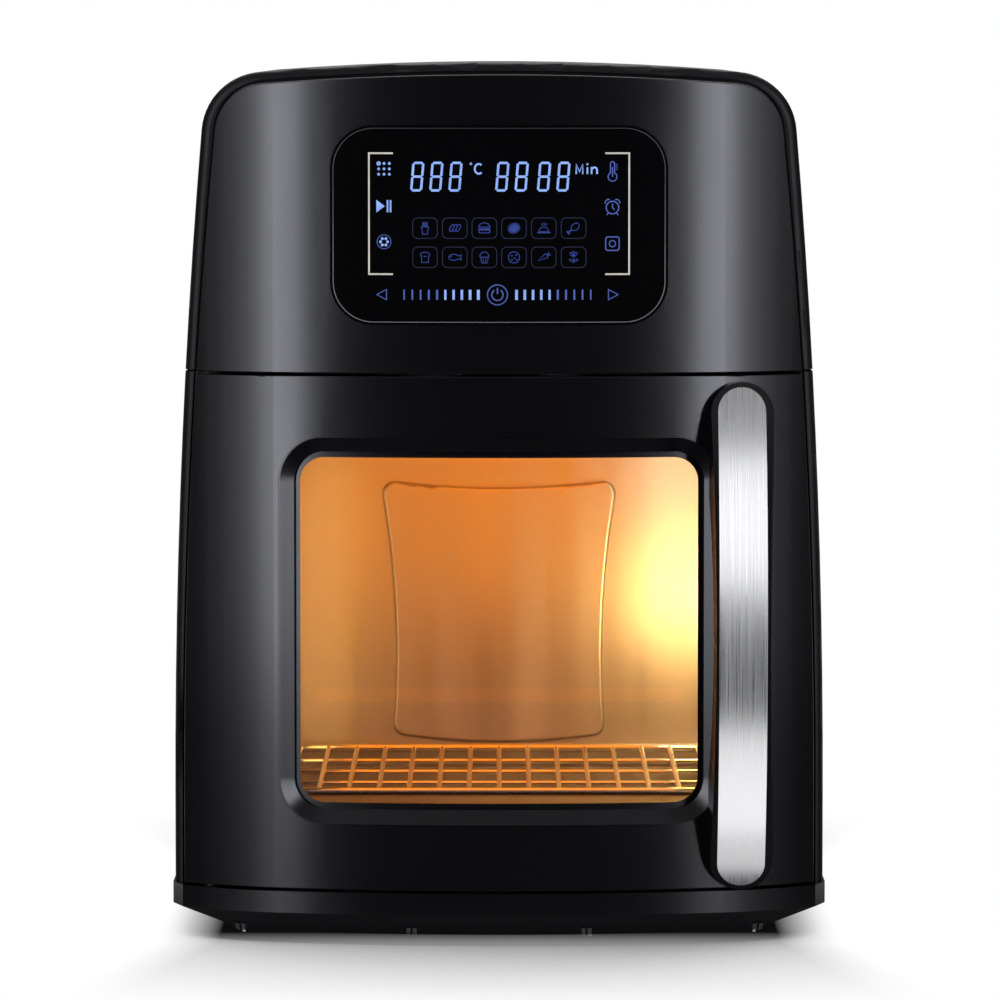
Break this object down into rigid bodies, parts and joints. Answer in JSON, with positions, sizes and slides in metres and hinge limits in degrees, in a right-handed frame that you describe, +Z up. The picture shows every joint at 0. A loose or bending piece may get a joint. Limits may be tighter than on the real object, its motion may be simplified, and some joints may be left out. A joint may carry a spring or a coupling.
{
  "type": "air fryer",
  "caption": "Upright oven-style air fryer with a bowed front, a touch panel above and a side-hinged window door with a tall bow handle, for cooking with hot air.",
  "frame": {"origin": "under the middle of the whole object, on the surface that it stands on", "axes": "+Z up, -Y towards the user, out of the door, +X to the user's right"},
  "size_m": [0.286, 0.324, 0.381],
  "materials": {
    "shell_plastic": "satin moulded black",
    "front_plastic": "satin painted black",
    "bezel_plastic": "fine satin black",
    "grille_plastic": "matt black",
    "touch_glass": "gloss black",
    "clear_glass": "clear tempered",
    "lamp_glass": "frosted",
    "cavity_steel": "bright drawn sheet",
    "frame_steel": "heat-proof dark grey",
    "plated_steel": "zinc plated",
    "inlay_steel": "brushed lengthways",
    "rack_chrome": "bright plated wire",
    "tray_coating": "dark non-stick",
    "heater_tube": "oxidised tube",
    "fan_aluminium": "plain cast",
    "motor_iron": "dull grey",
    "bearing_brass": "sintered",
    "board_green": "solder mask",
    "seal_rubber": "silicone",
    "foot_rubber": "matt",
    "switch_plastic": "pale moulded"
  },
  "bodies": {
    "housing": {"base": "shell_plastic", "left_side_panel": "shell_plastic", "right_side_panel": "shell_plastic", "upper_shell": "shell_plastic", "front_panel": "front_plastic", "control_glass": "touch_glass", "display_board": "board_green", "power_board": "board_green", "rear_cover": "grille_plastic", "exhaust_grille": "grille_plastic", "cord_gland": "grille_plastic", "case_screws": "plated_steel", "base_plate": "plated_steel", "foot_front_left": "foot_rubber", "foot_front_right": "foot_rubber", "foot_rear_left": "foot_rubber", "foot_rear_right": "foot_rubber", "cavity_front_frame": "frame_steel", "oven_liner": "cavity_steel", "cavity_back_panel": "cavity_steel", "left_rack_rails": "cavity_steel", "right_rack_rails": "cavity_steel", "lamp_lens": "lamp_glass", "lamp_bulb": "lamp_glass", "lamp_socket": "switch_plastic", "temperature_sensor": "plated_steel", "heater_guard": "plated_steel", "heating_element": "heater_tube", "heater_clips": "plated_steel", "fan_shroud": "plated_steel", "heat_shield": "plated_steel", "motor_bracket": "plated_steel", "motor": "motor_iron", "motor_bearings": "bearing_brass", "thermal_fuse": "switch_plastic", "lower_hinge_pin": "plated_steel", "upper_hinge_pin": "plated_steel", "catch_magnet": "motor_iron", "door_switch": "switch_plastic"},
    "fan_rotor": {"motor_shaft": "plated_steel", "motor_rotor": "motor_iron", "convection_fan": "fan_aluminium", "cooling_fan": "switch_plastic", "fan_nut": "plated_steel"},
    "door": {"door_frame": "front_plastic", "window_bezel": "bezel_plastic", "outer_glass": "clear_glass", "inner_glass": "clear_glass", "door_liner": "frame_steel", "door_gasket": "seal_rubber", "lower_hinge_bush": "grille_plastic", "upper_hinge_bush": "grille_plastic", "strike_plate": "plated_steel", "handle": "bezel_plastic", "handle_inlay": "inlay_steel", "handle_screws": "plated_steel"},
    "rack": {"wire_rack": "rack_chrome"},
    "tray": {"drip_tray": "tray_coating"},
    "plunger": {"switch_plunger": "switch_plastic"}
  },
  "joints": [
    {"name": "door_hinge", "type": "hinge", "parent": "housing", "child": "door", "pos_m": [-0.1258, -0.10406, 0.135], "axis": [0, 0, -1], "range_deg": [0, 110]},
    {"name": "fan_spin", "type": "hinge", "parent": "housing", "child": "fan_rotor", "pos_m": [0, 0.00947, 0.3], "axis": [0, 0, 1], "continuous": true},
    {"name": "rack_slide", "type": "slide", "parent": "housing", "child": "rack", "axis": [0, -1, 0], "range_m": [0, 0.01]},
    {"name": "tray_slide", "type": "slide", "parent": "housing", "child": "tray", "axis": [0, -1, 0], "range_m": [0, 0.01]},
    {"name": "switch_press", "type": "slide", "parent": "housing", "child": "plunger", "axis": [0, 1, 0], "range_m": [0, 0.0015], "stiffness_N_per_m": 300, "springref_m": -0.002}
  ]
}
